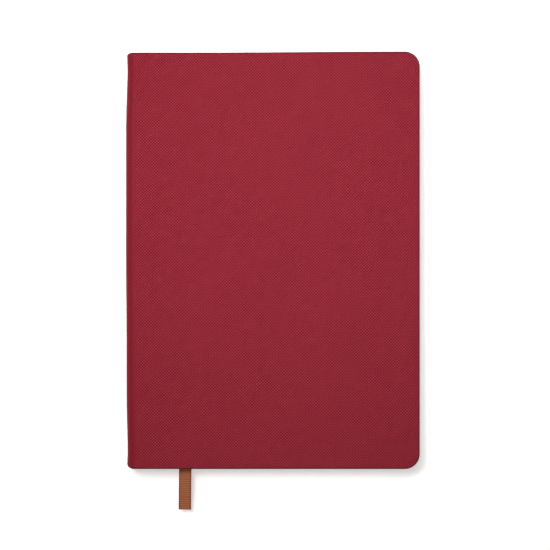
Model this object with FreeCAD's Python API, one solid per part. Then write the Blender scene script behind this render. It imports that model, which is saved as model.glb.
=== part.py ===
import FreeCAD, Part
import math
import os

# A case-bound A5 notebook lying on its back cover. Lengths are in millimetres.
# +X runs from the spine to the fore edge, +Y to the head, +Z up through the front cover.
# The origin is the middle of the back cover's outer face.

# Driving sizes
COVER_WIDTH = 148.0
COVER_HEIGHT = 210.0
THICKNESS = 14.0
COVER_CORNER = 7.5
SQUARE = 3.0
SKIN = 0.5
BOARD = 1.38
PASTEDOWN = 0.12
TURN_IN = 13.0
SIGNATURES = 10
SIGNATURE_THICKNESS = 0.78
SIGNATURE_PITCH = 0.80
RIBBON_WIDTH = 6.3
RIBBON_THICKNESS = 0.30
RIBBON_GAP = 0.36

# Cover and leaves beside the spine, measured from the spine's outer face
COVER_START = 5.0
BOARD_START = 6.0
LEAF_START = 5.1
SPINE_DEPTH = 4.7
SHOULDER_RADIUS = 4.5
FOLD_BACK = 2.3
FOLD_ROUND = 0.45
LEAF_CORNER = 6.0
FLYLEAF = 0.12
FLYLEAF_GAP = 0.06
BOARD_GAP = 0.05
CORNER_EASE = 0.8

# Spine linings, each from and to a depth below the spine's outer face
STIFFENER_DEPTHS = (0.60, 1.10)
GAUZE_DEPTHS = (1.20, 1.45)
GLUE_DEPTHS = (1.50, 1.90)
THREAD_DEPTHS = (1.95, 2.25)
LINING_MARGIN = 3.0
INNER_MARGIN = 4.0
GAUZE_SHORT = 5.0
SEWING_STATIONS = 6
THREAD_WIDTH = 0.5
BAND_RADIUS = 0.7
BAND_GAP = 0.1
ANCHOR_LENGTH = 7.0

# The ribbon's middle line, seen from above, as (from the spine's outer face, along Y), and seen from
# the side, as (along Y, height). The plan runs on past the ribbon's end, which the fall sets.
RIBBON_PLAN = [
    (8.7, 101.0),
    (9.8, 74.0),
    (13.8, 40.0),
    (20.2, 4.0),
    (26.2, -34.0),
    (29.4, -66.0),
    (30.0, -86.0),
    (29.8, -106.0),
    (29.4, -130.0),
]
RIBBON_FALL = [(101.0, 7.0), (-106.0, 7.0), (-112.5, 6.9), (-119.3, 6.2), (-126.3, 4.8)]
BEND_SHARE = 0.45

CASE_DEPTH = 2 * SKIN + BOARD
BLOCK_HALF_HEIGHT = COVER_HEIGHT / 2 - SQUARE
BLOCK_FORE_EDGE = COVER_WIDTH - SQUARE
MIDDLE = THICKNESS / 2
EDGE = -COVER_WIDTH / 2


def save(shape, name):
    shape.exportStep("parts/" + name + ".step")
    box = shape.BoundBox
    corners = (box.XMin, box.XMax, box.YMin, box.YMax, box.ZMin, box.ZMax)
    print(name, "valid" if shape.isValid() else "NOT VALID", [round(value, 2) for value in corners])


def block(depths, lengths, heights):
    """A box from ranges of depth behind the spine's outer face, of Y and of Z."""
    size = [high - low for low, high in (depths, lengths, heights)]
    corner = FreeCAD.Vector(EDGE + depths[0], lengths[0], heights[0])
    return Part.makeBox(size[0], size[1], size[2], corner)


def rounded_plate(start, stop, half_height, radius, low, high):
    """A plate square at the spine side and round at its two fore-edge corners."""
    plate = block((start, stop), (-half_height, half_height), (low, high))
    corners = [edge for edge in plate.Edges if is_fore_corner(edge, stop)]
    return plate.makeFillet(radius, corners)


def is_fore_corner(edge, stop):
    upright = abs(edge.Vertexes[0].X - edge.Vertexes[-1].X) + abs(edge.Vertexes[0].Y - edge.Vertexes[-1].Y)
    return upright < 1e-6 and abs(edge.Vertexes[0].X - EDGE - stop) < 1e-6


def is_outer_rim(edge, height):
    box = edge.BoundBox
    at_height = abs(box.ZMin - height) < 1e-6 and abs(box.ZMax - height) < 1e-6
    return at_height and box.XMax > EDGE + COVER_START + 1e-3


def cover_parts(side):
    """Skin, board and pastedown of one cover: side is 0 for the back and 1 for the front."""
    outside = THICKNESS * side
    inward = 1 - 2 * side

    def level(depth):
        return outside + inward * depth

    def plate(start, stop, inset, near, far):
        low, high = sorted((level(near), level(far)))
        radius = COVER_CORNER - min(inset, SKIN)
        return rounded_plate(start, stop, COVER_HEIGHT / 2 - inset, radius, low, high)

    case = plate(COVER_START, COVER_WIDTH, 0, 0, CASE_DEPTH)
    rim = [edge for edge in case.Edges if is_outer_rim(edge, outside)]
    case = case.makeFillet(CORNER_EASE, rim)
    cavity = plate(COVER_START, COVER_WIDTH - SKIN, SKIN, SKIN, SKIN + BOARD)
    window = plate(COVER_START, COVER_WIDTH - TURN_IN, TURN_IN, SKIN + BOARD, CASE_DEPTH)
    skin = case.cut(cavity.fuse(window))
    near, far = SKIN + BOARD_GAP, SKIN + BOARD - BOARD_GAP
    within = TURN_IN + BOARD_GAP
    board = plate(BOARD_START, COVER_WIDTH - near, near, near, far)
    panel = plate(BOARD_START, COVER_WIDTH - within, within, far, CASE_DEPTH)
    low, high = sorted((level(CASE_DEPTH), level(CASE_DEPTH + PASTEDOWN)))
    pastedown = rounded_plate(COVER_START, BLOCK_FORE_EDGE, BLOCK_HALF_HEIGHT, LEAF_CORNER, low, high)
    board = board.fuse(panel).removeSplitter()
    return skin, board, pastedown


def spine_skin():
    """A channel with round shoulders whose flanges reach the covers."""
    half = COVER_HEIGHT / 2
    outer = block((0, SPINE_DEPTH), (-half, half), (0, THICKNESS))
    outer = outer.makeFillet(SHOULDER_RADIUS, long_edges_at(outer, 0))
    inner = block((SKIN, SPINE_DEPTH + 1), (-half, half), (SKIN, THICKNESS - SKIN))
    inner = inner.makeFillet(SHOULDER_RADIUS - SKIN, long_edges_at(inner, SKIN))
    return outer.cut(inner)


def long_edges_at(shape, depth):
    """The edges that run along Y at a depth behind the spine's outer face."""
    along = [edge for edge in shape.Edges if edge.BoundBox.YLength > COVER_HEIGHT / 2]
    return [edge for edge in along if abs(edge.BoundBox.XMax - EDGE - depth) < 1e-6]


def signature_low(number):
    """Height of the underside of signature 1 (top) to SIGNATURES (bottom)."""
    half = SIGNATURES // 2
    if number <= half:
        return MIDDLE + RIBBON_GAP / 2 + (half - number) * SIGNATURE_PITCH
    return MIDDLE - RIBBON_GAP / 2 - SIGNATURE_THICKNESS - (number - half - 1) * SIGNATURE_PITCH


def leaves(low, thickness):
    return rounded_plate(LEAF_START, BLOCK_FORE_EDGE, BLOCK_HALF_HEIGHT, LEAF_CORNER, low, low + thickness)


def fold(low):
    """The folded back of a signature, round where it meets the glue."""
    heights = (low, low + SIGNATURE_THICKNESS)
    strip = block((FOLD_BACK, SPINE_DEPTH), (-BLOCK_HALF_HEIGHT, BLOCK_HALF_HEIGHT), heights)
    return strip.makeFillet(FOLD_ROUND * SIGNATURE_THICKNESS, long_edges_at(strip, FOLD_BACK))


def lining(depths, half_length, margin):
    return block(depths, (-half_length, half_length), (margin, THICKNESS - margin))


def sewing_thread():
    """Link stitches that run across the backs of the signatures."""
    pitch = 2 * BLOCK_HALF_HEIGHT / (SEWING_STATIONS + 1)
    bars = []
    for station in range(1, SEWING_STATIONS + 1):
        middle = -BLOCK_HALF_HEIGHT + station * pitch
        across = (middle - THREAD_WIDTH / 2, middle + THREAD_WIDTH / 2)
        bars.append(block(THREAD_DEPTHS, across, (LINING_MARGIN, THICKNESS - LINING_MARGIN)))
    return Part.makeCompound(bars)


def end_band(end):
    """A corded band over the folds: end is 1 at the head and -1 at the foot."""
    away = BLOCK_HALF_HEIGHT + BAND_GAP + BAND_RADIUS
    foot = FreeCAD.Vector(EDGE + FOLD_BACK + BAND_RADIUS, end * away, LINING_MARGIN)
    return Part.makeCylinder(BAND_RADIUS, THICKNESS - 2 * LINING_MARGIN, foot, FreeCAD.Vector(0, 0, 1))


def side_edges(points, offset):
    """Straight runs and tangent arcs beside a line of points, on its left for a positive offset."""
    runs = [(b - a) for a, b in zip(points, points[1:])]
    ways = [FreeCAD.Vector(run).normalize() for run in runs]
    lefts = [FreeCAD.Vector(-way.y, way.x, 0) for way in ways]
    last = points[0] + lefts[0] * offset
    edges = []
    for corner, run, after, way, onward, left, next_left in zip(
        points[1:], runs, runs[1:], ways, ways[1:], lefts, lefts[1:]
    ):
        turn = math.atan2(way.cross(onward).z, way.dot(onward))
        back = BEND_SHARE * min(run.Length, after.Length)
        radius = back / math.tan(abs(turn) / 2)
        centre = corner - way * back + left * math.copysign(radius, turn)
        middle = centre + (corner - centre).normalize() * (radius - math.copysign(offset, turn * offset))
        enter = corner - way * back + left * offset
        leave = corner + onward * back + next_left * offset
        edges.append(Part.LineSegment(last, enter).toShape())
        edges.append(Part.Arc(enter, middle, leave).toShape())
        last = leave
    edges.append(Part.LineSegment(last, points[-1] + lefts[-1] * offset).toShape())
    return edges


def band_face(points, width):
    """The flat outline of a band of the given width along a line of points."""
    flat = [FreeCAD.Vector(u, v, 0) for u, v in points]
    near = side_edges(flat, width / 2)
    far = side_edges(flat, -width / 2)
    start = Part.LineSegment(near[0].Vertexes[0].Point, far[0].Vertexes[0].Point).toShape()
    stop = Part.LineSegment(near[-1].Vertexes[-1].Point, far[-1].Vertexes[-1].Point).toShape()
    outline = Part.Wire(Part.__sortEdges__(near + far + [start, stop]))
    return Part.Face(outline)


def ribbon():
    """The marker, flat between the middle signatures, then drooping a little below the foot."""
    plan = band_face(RIBBON_PLAN, RIBBON_WIDTH).extrude(FreeCAD.Vector(0, 0, THICKNESS))
    fall = band_face(RIBBON_FALL, RIBBON_THICKNESS).extrude(FreeCAD.Vector(0, 0, COVER_WIDTH))
    fall.rotate(FreeCAD.Vector(0, 0, 0), FreeCAD.Vector(1, 1, 1), 120)
    strip = plan.common(fall)
    strip.translate(FreeCAD.Vector(EDGE, 0, 0))
    return strip.removeSplitter()


def arc_radii(points):
    """The radii of the arcs along a line of points."""
    edges = side_edges([FreeCAD.Vector(u, v, 0) for u, v in points], 0)
    return [round(edge.Curve.Radius, 1) for edge in edges if isinstance(edge.Curve, Part.Circle)]


def ribbon_anchor():
    """The ribbon's end, glued between the middle folds at the head."""
    top = BLOCK_HALF_HEIGHT - 1
    heights = (MIDDLE - RIBBON_THICKNESS / 2, MIDDLE + RIBBON_THICKNESS / 2)
    return block((FOLD_BACK, SPINE_DEPTH), (top - ANCHOR_LENGTH, top), heights)


os.makedirs("parts", exist_ok=True)

for side, side_name in enumerate(("back", "front")):
    for piece, piece_name in zip(cover_parts(side), ("skin", "board", "pastedown")):
        save(piece, side_name + "_" + piece_name)

save(spine_skin(), "spine_skin")
save(lining(STIFFENER_DEPTHS, BLOCK_HALF_HEIGHT, INNER_MARGIN), "spine_stiffener")
save(lining(GAUZE_DEPTHS, BLOCK_HALF_HEIGHT - GAUZE_SHORT, INNER_MARGIN), "spine_gauze")
save(lining(GLUE_DEPTHS, BLOCK_HALF_HEIGHT, LINING_MARGIN), "spine_glue")
save(sewing_thread(), "sewing_thread")
save(end_band(1), "headband")
save(end_band(-1), "tailband")
save(ribbon_anchor(), "ribbon_anchor")

for number in range(1, SIGNATURES + 1):
    low = signature_low(number)
    save(leaves(low, SIGNATURE_THICKNESS), "signature_%02d_leaves" % number)
    save(fold(low), "signature_%02d_fold" % number)

flyleaf_below = signature_low(SIGNATURES) - FLYLEAF_GAP - FLYLEAF
flyleaf_above = signature_low(1) + SIGNATURE_THICKNESS + FLYLEAF_GAP
save(leaves(flyleaf_below, FLYLEAF), "back_flyleaf")
save(leaves(flyleaf_above, FLYLEAF), "front_flyleaf")

marker = ribbon()
save(marker, "ribbon")
ribbon_length = marker.Volume / (RIBBON_WIDTH * RIBBON_THICKNESS)
print("ribbon length", round(ribbon_length, 1), "radii", arc_radii(RIBBON_PLAN), arc_radii(RIBBON_FALL))
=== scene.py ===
import math
import random

import bmesh
import bpy
import numpy as np
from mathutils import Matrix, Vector


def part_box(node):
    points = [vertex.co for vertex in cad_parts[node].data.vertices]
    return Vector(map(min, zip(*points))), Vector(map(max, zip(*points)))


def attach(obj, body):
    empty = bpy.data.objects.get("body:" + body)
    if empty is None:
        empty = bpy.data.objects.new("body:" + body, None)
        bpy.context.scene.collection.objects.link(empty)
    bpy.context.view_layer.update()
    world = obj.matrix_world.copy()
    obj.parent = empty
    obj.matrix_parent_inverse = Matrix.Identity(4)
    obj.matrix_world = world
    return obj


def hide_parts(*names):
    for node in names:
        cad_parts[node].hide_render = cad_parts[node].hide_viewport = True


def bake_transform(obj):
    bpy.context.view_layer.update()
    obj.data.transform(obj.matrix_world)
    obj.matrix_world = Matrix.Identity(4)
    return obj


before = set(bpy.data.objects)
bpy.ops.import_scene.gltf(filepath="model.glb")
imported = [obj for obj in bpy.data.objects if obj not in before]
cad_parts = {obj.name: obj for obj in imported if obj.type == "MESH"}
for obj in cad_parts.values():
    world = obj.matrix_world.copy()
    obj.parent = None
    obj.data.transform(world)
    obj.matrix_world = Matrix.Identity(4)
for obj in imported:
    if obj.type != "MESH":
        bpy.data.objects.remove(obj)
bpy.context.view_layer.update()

bl_info = {
    "name": "Case-bound notebook",
    "version": (1, 0, 0),
    "blender": (4, 5, 0),
    "location": "3D View > Sidebar > Notebook",
    "description": "Builds the looks of a case-bound notebook with a ribbon marker around its fixed frame",
    "category": "Object",
}

MM = 0.001

# Tolerances for finding a place, for merging vertices and for cutting a mesh by a plane
CLOSE = 1e-6
MERGE = 1e-7
CUT = 1e-8

# The case: places are measured from the spine's outer face (depth), and Z is the table's normal
SPINE_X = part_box("spine_skin")[0].x
FORE_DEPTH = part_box("front_skin")[1].x - SPINE_X
HALF_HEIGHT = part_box("front_skin")[1].y
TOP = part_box("front_skin")[1].z
CASE_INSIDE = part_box("front_skin")[0].z
MIDDLE = TOP / 2
SHOULDER = 4.5 * MM
SHOULDER_STEPS = 12
FRONT_SEAM_STEP = 5.5
SLAB_START = 5.6 * MM
BACK_SEAM = 5.0 * MM
SKIN = 0.5 * MM
INNER_RIM = 0.4 * MM
RIM_STRIP = 0.5 * MM
COLUMN_PITCH = 12 * MM
COLUMNS = 11
ROW_PITCH = 7.5 * MM
MIDDLE_ROWS = 12
END_ROWS = (0.3, 0.7, 1.1, 1.6, 2.4, 4.0, 6.5, 9.0, 13.0)

# How the hand-rounded case strays from a square one: how far, and between which places it does so
HEAD_INSET = 0.76 * MM
FOOT_INSET = 0.57 * MM
FOOT_BOW = 0.27 * MM
BOW_REACH = (0.0, 45 * MM)
INSET_REACH = (66 * MM, 98 * MM)
END_FLARE = 0.2 * MM
FLARE_REACH = (97 * MM, 102 * MM)
INSET_DEPTHS = (1 * MM, 11 * MM)
HEAD_RADIUS = 1.4 * MM
FOOT_RADIUS = 2.4 * MM
END_DEPTHS = (0.0, 3 * MM)
HEAD_SLANT = 0.5 * MM
SLANT_DEPTHS = (40 * MM, 140 * MM)
SLANT_REACH = (80 * MM, 105 * MM)

# The skin's rim, whose colour is painted darker as shade: the rounding, and the upright side below it
ROUNDING_REACH = (0.3 * MM, 0.9 * MM)
UPRIGHT_REACH = (0.6 * MM, 1.2 * MM)
UPRIGHT_SHARE = 0.5

# The book block
BLOCK_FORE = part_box("signature_01_leaves")[1].x - SPINE_X
BLOCK_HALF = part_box("signature_01_leaves")[1].y
LEAF_CORNER = 6.0 * MM
FOLD_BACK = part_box("signature_01_fold")[0].x - SPINE_X
SIGNATURES = 10
LEAVES = 8
SIGNATURE_THICKNESS = 0.78 * MM
LEAF_PITCH = SIGNATURE_THICKNESS / LEAVES
LEAF_THICKNESS = 0.9 * LEAF_PITCH
GUTTER = (3.0 * MM, 17.0 * MM)
GUTTER_STEPS = 14
LEAF_TINT = 0.05
LEAF_SHORT = 0.12 * MM
SEED = 7

# The ruling keeps clear of the head, the foot and the cut fore edge
HEAD_MARGIN = 15 * MM
FOOT_MARGIN = 7 * MM
FORE_MARGIN = 0.4 * MM

# The endpapers start beside the folds: the pastedowns are cut across at the joint, the front flyleaf further
# out
PASTE_START = FOLD_BACK + 0.2 * MM
JOINT_STEP = 0.3 * MM
JOINT_STEPS = 12
FLYLEAF_BENDS = (25 * MM, 40 * MM)

# The linings between the spine's skin and the thread
LININGS = (0.6 * MM, 1.95 * MM)
LINING_PRESS = 0.92


def linear(code):
    """An sRGB hex colour as linear red, green and blue."""
    values = [int(code[start:start + 2], 16) / 255 for start in (1, 3, 5)]
    return [value / 12.92 if value <= 0.04045 else ((value + 0.055) / 1.055) ** 2.4 for value in values]


def ramp(value, low, high):
    """Smooth step from 0 at a low value to 1 at a high one."""
    held = min(max((value - low) / (high - low), 0.0), 1.0)
    return held * held * (3 - 2 * held)


# ---------------------------------------------------------------- settings


class CoverSettings(bpy.types.PropertyGroup):
    """Sizes and colours of the leatherette case."""

    colour: bpy.props.FloatVectorProperty(
        name="Leatherette", description="Colour of the thread tops in the pressed weave", subtype="COLOR",
        default=linear("#AD2639"),
    )
    # Painted shade: the pits between the threads are drawn darker than the tops, as shade in the recesses
    pit_shade_colour: bpy.props.FloatVectorProperty(
        name="Pits", description="Colour between the threads of the pressed weave", subtype="COLOR",
        default=linear("#6E1322"),
    )
    grain_pitch: bpy.props.FloatProperty(
        name="Grain pitch", description="Distance between neighbouring threads of the pressed weave",
        default=0.75 * MM, unit="LENGTH",
    )
    grain_depth: bpy.props.FloatProperty(
        name="Grain depth", description="Height of the pressed weave", default=0.2 * MM, unit="LENGTH",
    )
    rim: bpy.props.FloatProperty(
        name="Rim radius", description="Rounding where the skin turns over the board's edge",
        default=0.8 * MM, unit="LENGTH",
    )
    corner: bpy.props.FloatProperty(
        name="Corner radius", description="Radius of the two fore-edge corners",
        default=7.5 * MM, unit="LENGTH",
    )


class PageSettings(bpy.types.PropertyGroup):
    """Colours and ruling of the paper."""

    colour: bpy.props.FloatVectorProperty(
        name="Paper", description="Colour of the pages", subtype="COLOR", default=linear("#E4DCC6"),
    )
    line_colour: bpy.props.FloatVectorProperty(
        name="Ruling", description="Colour of the ruled lines", subtype="COLOR", default=linear("#A9A79F"),
    )
    line_pitch: bpy.props.FloatProperty(
        name="Line pitch", description="Distance between ruled lines", default=7.0 * MM, unit="LENGTH",
    )
    line_width: bpy.props.FloatProperty(
        name="Line width", description="Width of a ruled line", default=0.3 * MM, unit="LENGTH",
    )


class RibbonSettings(bpy.types.PropertyGroup):
    """Size and colours of the ribbon marker."""

    width: bpy.props.FloatProperty(
        name="Width", description="Width of the ribbon", default=6.3 * MM, unit="LENGTH",
    )
    thickness: bpy.props.FloatProperty(
        name="Thickness", description="Thickness of the ribbon", default=0.26 * MM, unit="LENGTH",
    )
    rib_pitch: bpy.props.FloatProperty(
        name="Rib pitch", description="Distance between the cross ribs", default=0.95 * MM, unit="LENGTH",
    )
    colour: bpy.props.FloatVectorProperty(
        name="Ribs", description="Colour of the rib tops", subtype="COLOR", default=linear("#CB7443"),
    )
    # Painted shade: the grooves are drawn in a darker colour than the rib tops
    groove_shade_colour: bpy.props.FloatVectorProperty(
        name="Grooves", description="Colour between the ribs", subtype="COLOR", default=linear("#5A2A12"),
    )


# ---------------------------------------------------------------- modelling helpers


def only(piece):
    """Makes a piece the only selected and active object."""
    bpy.ops.object.select_all(action="DESELECT")
    piece.select_set(True)
    bpy.context.view_layer.objects.active = piece


def add_block(name, low, high):
    """A box from its lowest to its highest corner, whose object sits at the origin."""
    bpy.ops.object.select_all(action="DESELECT")
    low, high = Vector(low), Vector(high)
    bpy.ops.mesh.primitive_cube_add(size=1, location=(low + high) / 2)
    piece = bpy.context.object
    piece.name = name
    piece.data.name = name
    piece.scale = high - low
    bpy.ops.object.transform_apply(location=True, rotation=True, scale=True)
    return piece


def edit(piece):
    """Opens a piece in edit mode."""
    only(piece)
    bpy.ops.object.mode_set(mode="EDIT")


def done():
    """Closes edit mode."""
    bpy.ops.object.mode_set(mode="OBJECT")


def pick(piece, kind, test):
    """In edit mode, selects the vertices, edges or faces whose centre passes the test."""
    bpy.ops.mesh.select_mode(type=kind)
    bpy.ops.mesh.select_all(action="DESELECT")
    shape = bmesh.from_edit_mesh(piece.data)
    items = {"VERT": shape.verts, "EDGE": shape.edges, "FACE": shape.faces}[kind]
    for item in items:
        points = [item.co] if kind == "VERT" else [corner.co for corner in item.verts]
        if test(sum(points, Vector()) / len(points), item):
            item.select_set(True)
    shape.select_flush_mode()
    bmesh.update_edit_mesh(piece.data)


def cut(point, normal, **clear):
    """In edit mode, cuts the whole mesh by a plane."""
    bpy.ops.mesh.select_all(action="SELECT")
    bpy.ops.mesh.bisect(plane_co=point, plane_no=normal, threshold=CUT, **clear)


def copied(piece, name):
    """A copy with its own mesh."""
    made = piece.copy()
    made.data = piece.data.copy()
    made.name = name
    made.data.name = name
    bpy.context.scene.collection.objects.link(made)
    return made


def apply_modifier(piece, kind, **settings):
    """Adds a modifier with its settings and applies it."""
    only(piece)
    modifier = piece.modifiers.new(kind.title(), kind)
    for key, value in settings.items():
        setattr(modifier, key, value)
    bpy.ops.object.modifier_apply(modifier=modifier.name)


def lay_surface(piece, unrolled=lambda place: (place.x - SPINE_X, place.y)):
    """A UV map in metres, laid by a function that gives where a point falls when the sheet is flat."""
    for layer in list(piece.data.uv_layers):
        piece.data.uv_layers.remove(layer)
    layer = piece.data.uv_layers.new(name="surface")
    for loop in piece.data.loops:
        layer.data[loop.index].uv = unrolled(piece.data.vertices[loop.vertex_index].co)


def finish_piece(piece, material, angle=35):
    """Smooth shading with creases, and one material."""
    only(piece)
    bpy.ops.object.shade_smooth_by_angle(angle=math.radians(angle))
    piece.data.materials.clear()
    piece.data.materials.append(material)


def at(depth, height, along=0.0):
    """A point in the frame from a depth behind the spine's outer face, a height and a place along Y."""
    return (SPINE_X + depth, along, height)


# ---------------------------------------------------------------- materials


def add_node(material, kind, inputs=None, **settings):
    """Adds a node with its settings. An input is given a value or another node's output."""
    tree = material.node_tree
    made = tree.nodes.new("ShaderNode" + kind)
    for key, value in settings.items():
        setattr(made, key, value)
    for key, value in (inputs or {}).items():
        if isinstance(value, bpy.types.NodeSocket):
            tree.links.new(value, made.inputs[key])
        else:
            made.inputs[key].default_value = value
    return made


def new_material(name, roughness, specular=0.5):
    """A material with its shader, whose uniform values are set on the shader's own sockets."""
    material = bpy.data.materials.get(name)
    if material:
        return material, None
    material = bpy.data.materials.new(name)
    material.use_nodes = True
    shader = material.node_tree.nodes["Principled BSDF"]
    shader.inputs["Roughness"].default_value = roughness
    shader.inputs["Specular IOR Level"].default_value = specular
    return material, shader


def rgba(colour):
    """A colour with its alpha, as a node's socket takes it."""
    return (*colour, 1.0)


def pressed_leatherette():
    """PU leatherette, pressed hot with a plain weave: matt, with a soft light on the thread tops."""
    cover = bpy.context.scene.notebook_cover
    material, shader = new_material("pressed_pu_leatherette", 0.5, 0.2)
    if shader is None:
        return material
    # The weave lies a little askew, and is mottled by fibres, by patches pressed deeper and by uneven dye
    askew = math.radians(1.4)
    fibre_size, patch_size, cloud_size = 1.111 * MM, 3.846 * MM, 35.71 * MM
    surface = add_node(material, "UVMap", uv_map="surface").outputs[0]
    turned = add_node(
        material, "VectorRotate", {"Vector": surface, "Angle": askew}, rotation_type="Z_AXIS"
    ).outputs[0]
    axes = add_node(material, "SeparateXYZ", {0: turned})
    wave = math.pi / cover.grain_pitch
    phases = [
        add_node(material, "Math", {0: axes.outputs[axis], 1: wave}, operation="MULTIPLY").outputs[0]
        for axis in (0, 1)
    ]
    across, along = [add_node(material, "Math", {0: phase}, operation="SINE").outputs[0] for phase in phases]
    weave = add_node(material, "Math", {0: across, 1: along}, operation="MULTIPLY").outputs[0]
    fibres = add_node(
        material, "TexNoise", {"Vector": surface, "Scale": 1 / fibre_size, "Detail": 3.0, "Roughness": 0.6}
    ).outputs["Fac"]
    cloudy = add_node(
        material, "TexNoise", {"Vector": surface, "Scale": 1 / cloud_size, "Detail": 3.0, "Roughness": 0.55}
    ).outputs["Fac"]
    # The skin is stretched over the spine's shoulders, which irons the weave flat there
    away = add_node(material, "SeparateXYZ", {0: surface}).outputs[0]
    shoulder_end = SHOULDER + MIDDLE
    pressed = add_node(
        material, "MapRange",
        {"Value": away, "From Min": shoulder_end - 1.2 * MM, "From Max": shoulder_end + 1.6 * MM},
        interpolation_type="SMOOTHSTEP",
    ).outputs[0]
    uneven = add_node(
        material, "TexNoise", {"Vector": surface, "Scale": 1 / patch_size, "Detail": 2.0, "Roughness": 0.5}
    ).outputs["Fac"]
    strength = add_node(
        material, "MapRange",
        {"Value": uneven, "From Min": 0.25, "From Max": 0.75, "To Min": 0.45, "To Max": 1.35},
    ).outputs[0]
    kept = add_node(material, "Math", {0: strength, 1: pressed}, operation="MULTIPLY").outputs[0]
    height = add_node(material, "Math", {0: weave, 1: kept}, operation="MULTIPLY").outputs[0]
    grain = add_node(material, "Math", {0: fibres, 1: 0.35, 2: height}, operation="MULTIPLY_ADD").outputs[0]
    tone = add_node(material, "MapRange", {"Value": grain, "From Min": -0.6, "From Max": 1.0}).outputs[0]
    # Thread tops in the leatherette's colour, pits painted darker as shade in the weave's recesses
    tops = add_node(
        material, "Mix", {"Factor": tone, "A": rgba(cover.pit_shade_colour), "B": rgba(cover.colour)},
        data_type="RGBA",
    )
    shade = add_node(material, "MapRange", {"Value": cloudy, "To Min": 0.94, "To Max": 1.06}).outputs[0]
    # Where the skin is pulled over the board's edge its colour is painted darker, as shade on the turned edge
    rim = add_node(material, "Attribute", attribute_name="rim").outputs["Fac"]
    painted_rim_shade = add_node(material, "MapRange", {"Value": rim, "To Min": 1.0, "To Max": 0.38}).outputs[0]
    # The spine's rounded shoulders are painted darker, as shade where the skin curves away from the light
    painted_shoulder_shade = add_node(material, "MapRange", {"Value": pressed, "To Min": 0.8, "To Max": 1.0}).outputs[0]
    share = add_node(
        material, "Math",
        {0: add_node(material, "Math", {0: shade, 1: painted_rim_shade}, operation="MULTIPLY").outputs[0], 1: painted_shoulder_shade},
        operation="MULTIPLY",
    ).outputs[0]
    colour = add_node(
        material, "VectorMath", {0: tops.outputs["Result"], "Scale": share}, operation="SCALE"
    ).outputs[0]
    bump = add_node(
        material, "Bump", {"Height": grain, "Strength": 1.0, "Distance": cover.grain_depth}
    ).outputs[0]
    # Only the thread tops are polished, so they shine paler than the skin, and the spine is dull all over
    polish = add_node(
        material, "MapRange", {"Value": tone, "From Min": 0.3, "From Max": 1.0, "To Max": 0.62}
    ).outputs[0]
    gloss = add_node(
        material, "Mix", {"Factor": pressed, "A": 0.07, "B": polish}, data_type="FLOAT"
    ).outputs[0]
    tree = material.node_tree
    tree.links.new(colour, shader.inputs["Base Color"])
    tree.links.new(gloss, shader.inputs["Specular IOR Level"])
    tree.links.new(bump, shader.inputs["Normal"])
    return material


def uncoated_paper(ruled):
    """Uncoated cream wood-free paper: dead matt with faint fibres, ruled in the pages and plain elsewhere."""
    pages = bpy.context.scene.notebook_pages
    material, shader = new_material("ruled_cream_paper" if ruled else "cream_endpaper", 0.9, 0.2)
    if shader is None:
        return material
    # The felt of the fibres is drawn coarser than it is, so that it shows
    fibre_size = 1.4286 * MM
    surface = add_node(material, "UVMap", uv_map="surface").outputs[0]
    fibre = add_node(
        material, "TexNoise", {"Vector": surface, "Scale": 1 / fibre_size, "Detail": 4.0, "Roughness": 0.65}
    ).outputs["Fac"]
    tint = add_node(material, "Attribute", attribute_name="leaf_tint").outputs["Fac"]
    shade = add_node(material, "MapRange", {"Value": fibre, "To Min": 0.95, "To Max": 1.02}).outputs[0]
    colour = pages.colour
    tree = material.node_tree
    if ruled:
        axes = add_node(material, "SeparateXYZ", {0: surface})
        step = add_node(
            material, "Math", {0: axes.outputs[1], 1: pages.line_pitch, 2: 0.0}, operation="WRAP"
        ).outputs[0]
        line = add_node(material, "Math", {0: step, 1: pages.line_width}, operation="LESS_THAN").outputs[0]
        inside = add_node(
            material, "Math", {0: axes.outputs[0], 1: BLOCK_FORE - FORE_MARGIN}, operation="LESS_THAN"
        ).outputs[0]
        centred = add_node(
            material, "Math", {0: axes.outputs[1], 1: (HEAD_MARGIN - FOOT_MARGIN) / 2}, operation="ADD"
        ).outputs[0]
        within = add_node(
            material, "Math",
            {0: add_node(material, "Math", {0: centred}, operation="ABSOLUTE").outputs[0],
             1: BLOCK_HALF - (HEAD_MARGIN + FOOT_MARGIN) / 2},
            operation="LESS_THAN",
        ).outputs[0]
        within = add_node(material, "Math", {0: within, 1: inside}, operation="MULTIPLY").outputs[0]
        drawn = add_node(material, "Math", {0: line, 1: within}, operation="MULTIPLY").outputs[0]
        mixed = add_node(
            material, "Mix", {"Factor": drawn, "A": rgba(pages.colour), "B": rgba(pages.line_colour)},
            data_type="RGBA",
        )
        colour = mixed.outputs["Result"]
        shade = add_node(material, "Math", {0: shade, 1: tint}, operation="SUBTRACT").outputs[0]
    worn = add_node(material, "VectorMath", {0: colour, "Scale": shade}, operation="SCALE")
    bump = add_node(material, "Bump", {"Height": fibre, "Strength": 0.4, "Distance": 0.03 * MM}).outputs[0]
    tree.links.new(worn.outputs[0], shader.inputs["Base Color"])
    tree.links.new(bump, shader.inputs["Normal"])
    return material


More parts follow.
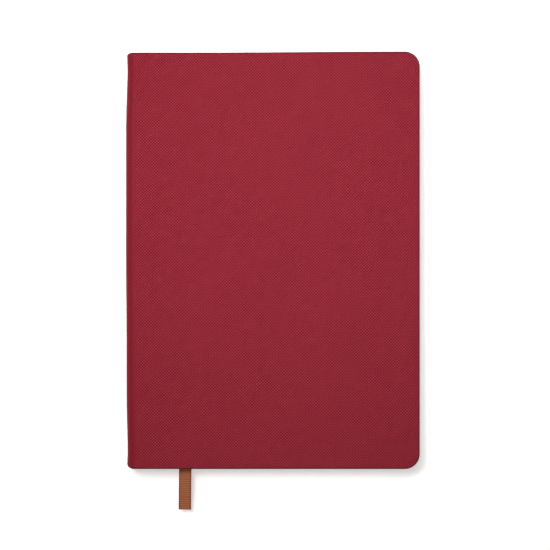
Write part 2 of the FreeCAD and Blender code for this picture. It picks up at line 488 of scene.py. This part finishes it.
def grosgrain():
    """Woven rayon ribbon: silky warp over thick weft ribs, with painted shade in the grooves, and darker
    along the selvedges.
    """
    ribbon = bpy.context.scene.notebook_ribbon
    material, shader = new_material("rust_grosgrain_ribbon", 0.6, 0.4)
    if shader is None:
        return material
    shader.inputs["Sheen Weight"].default_value = 0.25
    shader.inputs["Sheen Roughness"].default_value = 0.4
    warp_pitch, wear_size = 0.35 * MM, 4.545 * MM
    selvedge_start, selvedge_end = 0.33 * ribbon.width, 0.46 * ribbon.width
    surface = add_node(material, "UVMap", uv_map="surface").outputs[0]
    axes = add_node(material, "SeparateXYZ", {0: surface})
    angle = add_node(
        material, "Math", {0: axes.outputs[0], 1: 2 * math.pi / ribbon.rib_pitch}, operation="MULTIPLY"
    ).outputs[0]
    ribs = add_node(material, "Math", {0: angle}, operation="COSINE").outputs[0]
    threads = add_node(
        material, "Math",
        {0: add_node(
            material, "Math", {0: axes.outputs[1], 1: 2 * math.pi / warp_pitch}, operation="MULTIPLY"
        ).outputs[0]},
        operation="SINE",
    ).outputs[0]
    worn = add_node(
        material, "TexNoise", {"Vector": surface, "Scale": 1 / wear_size, "Detail": 2.0, "Roughness": 0.5}
    ).outputs["Fac"]
    kept = add_node(
        material, "MapRange", {"Value": worn, "From Min": 0.3, "From Max": 0.7, "To Min": 0.3, "To Max": 1.0}
    ).outputs[0]
    even = add_node(material, "Math", {0: ribs, 1: kept}, operation="MULTIPLY").outputs[0]
    grain = add_node(material, "Math", {0: threads, 1: 0.3, 2: even}, operation="MULTIPLY_ADD").outputs[0]
    tone = add_node(material, "MapRange", {"Value": grain, "From Min": -1.2, "From Max": 1.1}).outputs[0]
    # The grooves between the ribs are painted darker, as shade
    body = add_node(
        material, "Mix", {"Factor": tone, "A": rgba(ribbon.groove_shade_colour), "B": rgba(ribbon.colour)},
        data_type="RGBA",
    ).outputs["Result"]
    side = add_node(material, "Math", {0: axes.outputs[1]}, operation="ABSOLUTE").outputs[0]
    selvedge = add_node(
        material, "MapRange",
        {"Value": side, "From Min": selvedge_start, "From Max": selvedge_end, "To Min": 1.06, "To Max": 0.55},
        interpolation_type="SMOOTHSTEP",
    ).outputs[0]
    colour = add_node(material, "VectorMath", {0: body, "Scale": selvedge}, operation="SCALE").outputs[0]
    tree = material.node_tree
    tree.links.new(colour, shader.inputs["Base Color"])
    bump = add_node(material, "Bump", {"Height": grain, "Strength": 0.8, "Distance": 0.05 * MM}).outputs[0]
    tree.links.new(bump, shader.inputs["Normal"])
    return material


def fibrous(name, light, dark, size, roughness, depth):
    """Board, gauze, glue or thread: two tones mottled at the size of its fibres or lumps."""
    material, shader = new_material(name, roughness, 0.3)
    if shader is None:
        return material
    place = add_node(material, "TexCoord").outputs["Object"]
    mottle = add_node(
        material, "TexNoise", {"Vector": place, "Scale": 1 / size, "Detail": 4.0, "Roughness": 0.6}
    ).outputs["Fac"]
    tone = add_node(material, "MapRange", {"Value": mottle, "From Min": 0.3, "From Max": 0.7}).outputs[0]
    colour = add_node(
        material, "Mix", {"Factor": tone, "A": rgba(linear(dark)), "B": rgba(linear(light))}, data_type="RGBA"
    ).outputs["Result"]
    bump = add_node(material, "Bump", {"Height": mottle, "Strength": 0.5, "Distance": depth}).outputs[0]
    tree = material.node_tree
    tree.links.new(colour, shader.inputs["Base Color"])
    tree.links.new(bump, shader.inputs["Normal"])
    return material


def band_thread():
    """Silk headband: red and cream threads wrapped in turn over a cord."""
    material, shader = new_material("striped_silk_band", 0.55, 0.4)
    if shader is None:
        return material
    stripe_pitch = 2 * MM
    place = add_node(material, "TexCoord").outputs["Object"]
    height = add_node(material, "SeparateXYZ", {0: place}).outputs[2]
    step = add_node(material, "Math", {0: height, 1: stripe_pitch, 2: 0.0}, operation="WRAP").outputs[0]
    stripe = add_node(material, "Math", {0: step, 1: stripe_pitch / 2}, operation="LESS_THAN").outputs[0]
    colour = add_node(
        material, "Mix", {"Factor": stripe, "A": rgba(linear("#EADFC8")), "B": rgba(linear("#9A2B36"))},
        data_type="RGBA",
    ).outputs["Result"]
    material.node_tree.links.new(colour, shader.inputs["Base Color"])
    return material


# ---------------------------------------------------------------- the case


def spine_inset(along):
    """How far the hand-rounded spine stands back from its fullest place, at a place along Y."""
    head = HEAD_INSET * ramp(along, *INSET_REACH)
    foot = FOOT_INSET * ramp(-along, *INSET_REACH) + FOOT_BOW * ramp(-along, *BOW_REACH)
    flare = END_FLARE * ramp(abs(along), *FLARE_REACH)
    return head + foot - flare


def end_round(along):
    """How far the spine's corners are rounded in plan, near the head and the foot."""
    radius = HEAD_RADIUS if along > 0 else FOOT_RADIUS
    past = abs(along) - (HALF_HEIGHT - radius)
    if past <= 0:
        return 0.0
    return radius - math.sqrt(max(radius ** 2 - min(past, radius) ** 2, 0.0))


def shape_case(piece):
    """Gives the case its handmade lines: the spine's bulge, its soft ends and the head's slight slant."""
    for vertex in piece.data.vertices:
        place = vertex.co
        depth = place.x - SPINE_X
        bulge = spine_inset(place.y) * (1 - ramp(depth, *INSET_DEPTHS))
        rounding = end_round(place.y) * (1 - ramp(depth, *END_DEPTHS))
        slant = HEAD_SLANT * (1 - ramp(depth, *SLANT_DEPTHS)) * ramp(place.y, *SLANT_REACH)
        place.x += bulge + rounding
        place.y -= slant


def outline(place):
    """How far a point lies inside the case's outline, and the outline's outward direction there."""
    corner = bpy.context.scene.notebook_cover.corner
    from_fore = FORE_DEPTH - (place.x - SPINE_X)
    from_end = HALF_HEIGHT - abs(place.y)
    side = math.copysign(1, place.y)
    if from_fore < corner and from_end < corner:
        out = Vector((corner - from_fore, corner - from_end))
        distance = corner - out.length
        out.normalize()
        return distance, out.x, out.y * side
    if from_fore < from_end:
        return from_fore, 1.0, 0.0
    return from_end, 0.0, side


def case_unrolled(place):
    """Where a point of the skin falls when the skin is flat: it turns down at the spine and at the rim."""
    below = TOP - MIDDLE - abs(place.z - MIDDLE)
    depth = place.x - SPINE_X
    if depth < SLAB_START - CLOSE:
        return depth + MIDDLE - below, place.y
    out_x, out_y = outline(place)[1:]
    return depth + MIDDLE + out_x * below, place.y + out_y * below


def mark_rim_shade(piece):
    """Stores the weight of the painted shade where the skin is pulled over the edge: most on the rounding,
    less on the upright side.
    """
    rim = piece.data.attributes.new("rim", "FLOAT", "POINT")
    for vertex in piece.data.vertices:
        distance = outline(vertex.co)[0]
        below = TOP - MIDDLE - abs(vertex.co.z - MIDDLE)
        upright = ramp(below, *UPRIGHT_REACH)
        near = 1 - ramp(distance, *ROUNDING_REACH)
        rim.data[vertex.index].value = near * (1 - UPRIGHT_SHARE * upright)


def row_places():
    """Where the case is divided along Y: close together at the ends, wider in the middle."""
    ends = [HALF_HEIGHT - step * MM for step in END_ROWS]
    middle = [step * ROW_PITCH for step in range(-MIDDLE_ROWS, MIDDLE_ROWS + 1)]
    return sorted([-place for place in ends] + middle + ends)


def half_case(cover):
    """The upper half of the case: front slab, tongue over the shoulder and half of the spine."""
    piece = add_block(
        "upper_case", at(SLAB_START, CASE_INSIDE, -HALF_HEIGHT), at(FORE_DEPTH, TOP, HALF_HEIGHT)
    )
    edit(piece)
    fore = SPINE_X + FORE_DEPTH
    spine_side = SPINE_X + SLAB_START
    pick(piece, "EDGE", lambda c, e: abs(c.x - fore) < CLOSE and abs(c.y) > HALF_HEIGHT - CLOSE)
    bpy.ops.mesh.bevel(offset=cover.corner, segments=12, affect="EDGES", clamp_overlap=False)
    # Only the slab's two broad faces are larger than this
    half_area = FORE_DEPTH * HALF_HEIGHT
    for height, radius, steps in ((TOP, cover.rim, 5), (CASE_INSIDE, INNER_RIM, 3)):
        pick(
            piece, "EDGE",
            lambda c, e: abs(c.z - height) < CLOSE and c.x > spine_side + CLOSE and len(e.link_faces) == 2
            and abs(e.verts[0].co.z - e.verts[1].co.z) < CLOSE,
        )
        bpy.ops.mesh.bevel(offset=radius, segments=steps, affect="EDGES", clamp_overlap=False)
        pick(piece, "FACE", lambda c, f: abs(c.z - height) < CLOSE and f.calc_area() > half_area)
        bpy.ops.mesh.inset(thickness=RIM_STRIP)
    for place in row_places():
        cut((0, place, 0), (0, 1, 0))
    for column in range(1, COLUMNS + 1):
        cut(at(column * COLUMN_PITCH, 0), (1, 0, 0))
    cut((0, 0, TOP - SKIN), (0, 0, 1))
    pick(piece, "FACE", lambda c, f: abs(c.x - spine_side) < CLOSE and c.z > TOP - SKIN)
    bpy.ops.mesh.extrude_region_move(
        TRANSFORM_OT_translate={"value": (SHOULDER - SLAB_START, 0, 0), "orient_type": "GLOBAL"}
    )
    bpy.ops.mesh.spin(
        steps=SHOULDER_STEPS, angle=math.pi / 2, center=at(SHOULDER, TOP - SHOULDER), axis=(0, 1, 0)
    )
    bpy.ops.mesh.extrude_region_move(
        TRANSFORM_OT_translate={"value": (0, 0, MIDDLE - TOP + SHOULDER), "orient_type": "GLOBAL"}
    )
    bpy.ops.mesh.select_all(action="SELECT")
    bpy.ops.mesh.remove_doubles(threshold=MERGE)
    bpy.ops.mesh.normals_make_consistent(inside=False)
    done()
    return piece


def split(piece, name, point, normal):
    """The part of a piece on the far side of a plane, left open there, as where one skin runs on."""
    made = copied(piece, name)
    edit(made)
    cut(point, normal, clear_inner=True)
    done()
    return made


class NOTEBOOK_OT_case(bpy.types.Operator):
    """Models the leatherette case: front and back covers and the two halves of the rounded spine"""

    bl_idname = "notebook.case"
    bl_label = "Case"

    def execute(self, context):
        cover = context.scene.notebook_cover
        upper = half_case(cover)
        lower = copied(upper, "lower_case")
        edit(lower)
        bpy.ops.mesh.select_all(action="SELECT")
        bpy.ops.transform.resize(value=(1, 1, -1), center_override=(0, 0, MIDDLE))
        bpy.ops.mesh.normals_make_consistent(inside=False)
        done()
        # The front seam runs through the middle of a facet, so that both sides shade alike
        seam_angle = math.radians(90 / SHOULDER_STEPS * FRONT_SEAM_STEP)
        down, out = math.cos(seam_angle), math.sin(seam_angle)
        centre = at(SHOULDER, TOP - SHOULDER)
        front = split(upper, "front_cover_skin", centre, (down, 0, out))
        spine_upper = split(upper, "spine_skin_upper", centre, (-down, 0, -out))
        back = split(lower, "back_cover_skin", at(BACK_SEAM, 0), (1, 0, 0))
        spine_lower = split(lower, "spine_skin_lower", at(BACK_SEAM, 0), (-1, 0, 0))
        for scrap in (upper, lower):
            bpy.data.objects.remove(scrap)
        for piece in (front, spine_upper, back, spine_lower):
            lay_surface(piece, case_unrolled)
            mark_rim_shade(piece)
            shape_case(piece)
            finish_piece(piece, pressed_leatherette())
        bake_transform(front)
        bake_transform(spine_upper)
        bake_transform(spine_lower)
        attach(back, "back_cover")
        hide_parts("front_skin")
        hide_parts("spine_skin")
        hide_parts("back_skin")
        return {"FINISHED"}


# ---------------------------------------------------------------- endpapers and pages


def leaf_plate(name, start, thickness, height, bends):
    """A sheet from a depth behind the spine to the fore edge, with round corners and cut across at each depth
    in bends.
    """
    low = at(start, height - thickness / 2, -BLOCK_HALF)
    high = at(BLOCK_FORE, height + thickness / 2, BLOCK_HALF)
    piece = add_block(name, low, high)
    edit(piece)
    fore = SPINE_X + BLOCK_FORE
    pick(piece, "EDGE", lambda c, e: abs(c.x - fore) < CLOSE and abs(c.y) > BLOCK_HALF - CLOSE)
    bpy.ops.mesh.bevel(offset=LEAF_CORNER, segments=6, affect="EDGES", clamp_overlap=False)
    cut_across(bends)
    done()
    lay_surface(piece)
    finish_piece(piece, uncoated_paper(ruled=False))
    return piece


def cut_across(depths):
    """In edit mode, cuts a sheet along Y at each depth."""
    for depth in depths:
        cut(at(depth, 0), (1, 0, 0))


def gutter_depths():
    """Where a leaf is cut across in the gutter."""
    return [GUTTER[0] + step * (GUTTER[1] - GUTTER[0]) / GUTTER_STEPS for step in range(GUTTER_STEPS + 1)]


class NOTEBOOK_OT_endpapers(bpy.types.Operator):
    """Models the pastedowns, cut across at the joints, and the two flyleaves"""

    bl_idname = "notebook.endpapers"
    bl_label = "Endpapers"

    def execute(self, context):
        joint = [PASTE_START + step * JOINT_STEP for step in range(1, JOINT_STEPS + 1)]
        clearance = 0.02 * MM
        sides = (
            ("front", ("signature_01", "front_cover"), ("signature_01", "front_flyleaf"),
             (PASTE_START, FLYLEAF_BENDS[0])),
            ("back", ("spine", "back_cover"), ("spine", "signature_10"), GUTTER),
        )
        for side, pasted_bodies, free_bodies, (bend_start, bend_end) in sides:
            low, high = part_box(side + "_pastedown")
            height = (low.z + high.z) / 2
            thickness = high.z - low.z - clearance
            pasted = leaf_plate(side + "_pastedown_sheet", PASTE_START, thickness, height, joint)
            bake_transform(pasted)
            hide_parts(side + "_pastedown")
            low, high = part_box(side + "_flyleaf")
            height = (low.z + high.z) / 2
            bends = [*gutter_depths(), *FLYLEAF_BENDS]
            free = leaf_plate(side + "_flyleaf_sheet", PASTE_START, high.z - low.z, height, bends)
            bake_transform(free)
            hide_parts(side + "_flyleaf")
        return {"FINISHED"}


def bifolio(number):
    """One folded sheet of a signature, centred on height 0: number 0 is the innermost."""
    offset = (number + 0.5) * LEAF_PITCH
    fold_centre = FOLD_BACK + SIGNATURE_THICKNESS / 2
    bpy.ops.object.select_all(action="DESELECT")
    middle = SPINE_X + (fold_centre + BLOCK_FORE) / 2
    bpy.ops.mesh.primitive_plane_add(size=1, location=(middle, 0, offset))
    piece = bpy.context.object
    piece.scale = (BLOCK_FORE - fold_centre, 2 * BLOCK_HALF, 1)
    bpy.ops.object.transform_apply(location=True, rotation=True, scale=True)
    edit(piece)
    pick(piece, "VERT", lambda c, v: c.x > SPINE_X + BLOCK_FORE - CLOSE)
    bpy.ops.mesh.bevel(offset=LEAF_CORNER, segments=6, affect="VERTICES", clamp_overlap=False)
    cut_across(gutter_depths())
    pick(piece, "EDGE", lambda c, e: c.x < SPINE_X + fold_centre + CLOSE)
    bpy.ops.mesh.spin(steps=3, angle=math.pi / 2, center=at(fold_centre, 0), axis=(0, 1, 0))
    done()
    apply_modifier(
        piece, "MIRROR", use_axis=(False, False, True), use_mirror_merge=True, merge_threshold=CLOSE
    )
    apply_modifier(piece, "SOLIDIFY", thickness=LEAF_THICKNESS, offset=0)
    edit(piece)
    bpy.ops.mesh.select_all(action="SELECT")
    bpy.ops.mesh.normals_make_consistent(inside=False)
    done()
    return piece


def tint_leaves(piece, dice):
    """Gives each leaf its own slight tint and cuts it a hair short at the fore edge."""
    tint = piece.data.attributes.new("leaf_tint", "FLOAT", "POINT")
    tints = [dice.uniform(0.0, LEAF_TINT) for leaf in range(LEAVES)]
    pushes = [dice.uniform(-LEAF_SHORT, 0.0) for leaf in range(LEAVES)]
    low = min(vertex.co.z for vertex in piece.data.vertices)
    fore = SPINE_X + BLOCK_FORE - LEAF_CORNER
    for vertex in piece.data.vertices:
        leaf = min(int((vertex.co.z - low) / LEAF_PITCH), LEAVES - 1)
        tint.data[vertex.index].value = tints[leaf]
        if vertex.co.x > fore - CLOSE:
            vertex.co.x += pushes[leaf]


class NOTEBOOK_OT_signatures(bpy.types.Operator):
    """Models ten sewn signatures of nested folded sheets"""

    bl_idname = "notebook.signatures"
    bl_label = "Signatures"

    def execute(self, context):
        dice = random.Random(SEED)
        sheets = [bifolio(number) for number in range(LEAVES // 2)]
        bpy.ops.object.select_all(action="DESELECT")
        for sheet in sheets:
            sheet.select_set(True)
        context.view_layer.objects.active = sheets[0]
        bpy.ops.object.join()
        pattern = sheets[0]
        for number in range(1, SIGNATURES + 1):
            name = "signature_%02d" % number
            low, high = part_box(name + "_leaves")
            piece = copied(pattern, name + "_sheets")
            for vertex in piece.data.vertices:
                vertex.co.z += (low.z + high.z) / 2
            tint_leaves(piece, dice)
            lay_surface(piece)
            finish_piece(piece, uncoated_paper(ruled=True))
            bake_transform(piece)
            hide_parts(name + "_leaves", name + "_fold")
        bpy.data.objects.remove(pattern)
        return {"FINISHED"}


# ---------------------------------------------------------------- binding


def lining_sheet(name, material):
    """A lining of the spine, pressed thinner where the skin outside it stands back."""
    low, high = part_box(name)
    piece = add_block(name + "_sheet", low, high)
    edit(piece)
    for place in row_places():
        if abs(place) < high.y:
            cut((0, place, 0), (0, 1, 0))
    done()
    for vertex in piece.data.vertices:
        place = vertex.co
        share = (LININGS[1] - place.x + SPINE_X) / (LININGS[1] - LININGS[0])
        place.x += LINING_PRESS * spine_inset(place.y) * share
    finish_piece(piece, material)
    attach(piece, "spine")
    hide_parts(name)


def wound_band(name):
    """A headband: thread wound over a cord, whose turns stand out as ridges."""
    turns, groove = 24, 0.88
    low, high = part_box(name)
    radius = (high.x - low.x) / 2
    centre = (low + high) / 2
    bpy.ops.object.select_all(action="DESELECT")
    bpy.ops.mesh.primitive_cylinder_add(
        vertices=20, radius=radius, depth=high.z - low.z, location=centre, end_fill_type="TRIFAN"
    )
    piece = bpy.context.object
    piece.name = piece.data.name = name + "_wound"
    bpy.ops.object.transform_apply(location=True, rotation=True, scale=True)
    edit(piece)
    step = (high.z - low.z) / (2 * turns)
    grooves = [low.z + step * place for place in range(1, 2 * turns)]
    for height in grooves:
        cut((0, 0, height), (0, 0, 1))
    for height in grooves[::2]:
        pick(piece, "EDGE", lambda c, e: max(abs(end.co.z - height) for end in e.verts) < CLOSE)
        bpy.ops.transform.resize(value=(groove, groove, 1), center_override=(centre.x, centre.y, height))
    done()
    finish_piece(piece, band_thread(), angle=60)
    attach(piece, "spine")
    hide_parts(name)


class NOTEBOOK_OT_binding(bpy.types.Operator):
    """Winds the head and tail bands and gives the boards, linings, glue and thread their finishes"""

    bl_idname = "notebook.binding"
    bl_label = "Binding"

    def execute(self, context):
        wound_band("headband")
        wound_band("tailband")
        board = fibrous("grey_mill_board", "#9B978E", "#77736B", 1.111 * MM, 0.9, 0.05 * MM)
        gauze = fibrous("starched_mull_gauze", "#DEDBD0", "#AEAA9C", 0.6667 * MM, 0.9, 0.05 * MM)
        glue = fibrous("dried_pva_glue", "#E2DAC2", "#C7BC9E", 3.333 * MM, 0.45, 0.02 * MM)
        thread = fibrous("waxed_linen_thread", "#E6E0D0", "#B9B19C", 0.4 * MM, 0.6, 0.03 * MM)
        lining_sheet("spine_stiffener", board)
        lining_sheet("spine_gauze", gauze)
        lining_sheet("spine_glue", glue)
        for name, material in (("front_board", board), ("back_board", board), ("sewing_thread", thread)):
            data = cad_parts[name].data
            data.materials.clear()
            data.materials.append(material)
        return {"FINISHED"}


# ---------------------------------------------------------------- ribbon

# The ribbon's line from the head, between the middle signatures, to its free end below the foot:
# depth behind the spine's outer face, place along Y, and height, in millimetres
RIBBON_ROUTE = [
    (8.7, 101.0, 7.0),
    (9.8, 74.0, 7.0),
    (13.8, 40.0, 7.0),
    (20.2, 4.0, 7.0),
    (26.2, -34.0, 7.0),
    (29.4, -66.0, 7.0),
    (30.0, -86.0, 7.0),
    (29.8, -106.0, 7.0),
    (29.7, -112.5, 6.9),
    (29.6, -119.3, 6.2),
    (29.5, -126.3, 4.8),
]


def ribbon_line():
    """Points along the smooth line that the route's points control."""
    curve = bpy.data.curves.new("ribbon_line", "CURVE")
    curve.dimensions = "3D"
    spline = curve.splines.new("NURBS")
    spline.points.add(len(RIBBON_ROUTE) - 1)
    for point, (depth, along, height) in zip(spline.points, RIBBON_ROUTE):
        point.co = (*at(depth * MM, height * MM, along * MM), 1.0)
    spline.order_u = 3
    spline.use_endpoint_u = True
    spline.resolution_u = 32
    holder = bpy.data.objects.new("ribbon_line", curve)
    bpy.context.scene.collection.objects.link(holder)
    mesh = bpy.data.meshes.new_from_object(holder)
    points = np.array([vertex.co for vertex in mesh.vertices])
    bpy.data.objects.remove(holder)
    bpy.data.meshes.remove(mesh)
    return points


def evenly(points, step):
    """Points at even distances along a line."""
    lengths = np.concatenate([[0], np.cumsum(np.linalg.norm(np.diff(points, axis=0), axis=1))])
    count = int(round(lengths[-1] / step))
    places = np.linspace(0, lengths[-1], count + 1)
    return np.column_stack([np.interp(places, lengths, points[:, axis]) for axis in range(3)]), places


class NOTEBOOK_OT_ribbon(bpy.types.Operator):
    """Weaves the ribbon marker as a flat ribbed strip along its line"""

    bl_idname = "notebook.ribbon"
    bl_label = "Ribbon"

    def execute(self, context):
        ribbon = context.scene.notebook_ribbon
        line, places = evenly(ribbon_line(), ribbon.rib_pitch / 4)
        ways = np.gradient(line, axis=0)
        ways /= np.linalg.norm(ways, axis=1)[:, None]
        sides = np.cross(ways, (0, 0, 1))
        sides /= np.linalg.norm(sides, axis=1)[:, None]
        ups = np.cross(sides, ways)
        # The ribs swell the strip by a share of its thickness, and it thins towards the selvedges
        columns, swell, thinning = 8, 0.22, 0.55
        vertices, faces, surface = [], [], []
        for centre, side, up, place in zip(line, sides, ups, places):
            rib = 1 + swell * math.cos(2 * math.pi * place / ribbon.rib_pitch)
            half = ribbon.thickness / 2 * rib / (1 + swell)
            for face_side in (1, -1):
                for column in range(columns + 1):
                    across = face_side * (column / columns - 0.5) * ribbon.width
                    edge = abs(across) / (ribbon.width / 2)
                    lift = face_side * half * (1 - thinning * edge ** 8)
                    vertices.append(centre + side * across + up * lift)
                    surface.append((place, across))
        ring = 2 * (columns + 1)
        for row in range(len(line) - 1):
            for place in range(ring):
                near, far = row * ring + place, row * ring + (place + 1) % ring
                faces.append((near, far, far + ring, near + ring))
        faces.append(tuple(range(ring)))
        faces.append(tuple(range((len(line) - 1) * ring, len(line) * ring)))
        mesh = bpy.data.meshes.new("ribbon_marker")
        mesh.from_pydata(vertices, [], faces)
        layer = mesh.uv_layers.new(name="surface")
        for loop in mesh.loops:
            layer.data[loop.index].uv = surface[loop.vertex_index]
        piece = bpy.data.objects.new("ribbon_marker", mesh)
        context.scene.collection.objects.link(piece)
        edit(piece)
        bpy.ops.mesh.select_all(action="SELECT")
        bpy.ops.mesh.normals_make_consistent(inside=False)
        done()
        finish_piece(piece, grosgrain(), angle=60)
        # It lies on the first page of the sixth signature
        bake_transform(piece)
        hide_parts("ribbon", "ribbon_anchor")
        return {"FINISHED"}


# ---------------------------------------------------------------- stage


class NOTEBOOK_OT_stage(bpy.types.Operator):
    """Sets the pale floor, the soft lights and the camera straight above"""

    bl_idname = "notebook.stage"
    bl_label = "Stage"

    def execute(self, context):
        scene = context.scene
        white = (1, 1, 1, 1)
        bpy.ops.object.select_all(action="DESELECT")
        bpy.ops.mesh.primitive_plane_add(size=3.0, location=(0, 0, 0))
        floor = context.object
        floor.name = "floor"
        material, shader = new_material("white_table", 0.9, 0.1)
        shader.inputs["Base Color"].default_value = (0.9, 0.9, 0.9, 1)
        shader.inputs["Emission Color"].default_value = white
        shader.inputs["Emission Strength"].default_value = 0.43
        floor.data.materials.append(material)
        world = bpy.data.worlds.new("soft_room")
        world.use_nodes = True
        background = world.node_tree.nodes["Background"]
        background.inputs["Color"].default_value = white
        background.inputs["Strength"].default_value = 0.27
        scene.world = world
        self.add_softbox(
            "key_softbox", place=(-0.20, 0.23, 0.72), target=(0.0, 0.035, 0.0),
            size=0.38, power=0.45, spread=42,
        )
        self.add_softbox(
            "head_softbox", place=(0.10, 0.40, 0.24), target=(0.0, 0.03, 0.0),
            size=0.25, power=0.65, spread=180,
        )
        scene.view_settings.view_transform = "Standard"
        data = bpy.data.cameras.new("camera")
        data.lens = 135
        data.sensor_width = 36
        # The camera looks straight down from where its picture is as wide as the field at the cover's height
        field = 276.4 * MM
        distance = field * data.lens / data.sensor_width
        data.clip_end = 10
        camera = bpy.data.objects.new("camera", data)
        camera.location = (1.2 * MM, -7.4 * MM, TOP + distance)
        scene.collection.objects.link(camera)
        scene.camera = camera
        return {"FINISHED"}

    def add_softbox(self, name, place, target, size, power, spread):
        """A square area light that looks at a target, with a grid that narrows its beam to a spread."""
        data = bpy.data.lights.new(name, "AREA")
        data.energy = power
        data.size = size
        data.spread = math.radians(spread)
        light = bpy.data.objects.new(name, data)
        light.location = place
        light.rotation_euler = (Vector(target) - Vector(place)).to_track_quat("-Z", "Y").to_euler()
        bpy.context.scene.collection.objects.link(light)


class NOTEBOOK_PT_panel(bpy.types.Panel):
    """Lists the notebook's pieces in the sidebar"""

    bl_label = "Notebook"
    bl_idname = "NOTEBOOK_PT_panel"
    bl_space_type = "VIEW_3D"
    bl_region_type = "UI"
    bl_category = "Notebook"

    def draw(self, context):
        for operator in OPERATORS:
            self.layout.operator(operator.bl_idname)
        for settings in (
            context.scene.notebook_cover, context.scene.notebook_pages, context.scene.notebook_ribbon
        ):
            box = self.layout.box()
            for name in settings.__annotations__:
                box.prop(settings, name)


OPERATORS = (
    NOTEBOOK_OT_stage,
    NOTEBOOK_OT_ribbon,
    NOTEBOOK_OT_case,
    NOTEBOOK_OT_endpapers,
    NOTEBOOK_OT_signatures,
    NOTEBOOK_OT_binding,
)
CLASSES = (CoverSettings, PageSettings, RibbonSettings, *OPERATORS, NOTEBOOK_PT_panel)


def register():
    for cls in CLASSES:
        bpy.utils.register_class(cls)
    bpy.types.Scene.notebook_cover = bpy.props.PointerProperty(type=CoverSettings)
    bpy.types.Scene.notebook_pages = bpy.props.PointerProperty(type=PageSettings)
    bpy.types.Scene.notebook_ribbon = bpy.props.PointerProperty(type=RibbonSettings)


def unregister():
    del bpy.types.Scene.notebook_ribbon
    del bpy.types.Scene.notebook_pages
    del bpy.types.Scene.notebook_cover
    for cls in reversed(CLASSES):
        bpy.utils.unregister_class(cls)


def main():
    register()
    bpy.ops.notebook.stage()
    bpy.ops.notebook.ribbon()
    bpy.ops.notebook.case()
    bpy.ops.notebook.endpapers()
    bpy.ops.notebook.signatures()
    bpy.ops.notebook.binding()


if __name__ == "__main__":
    main()
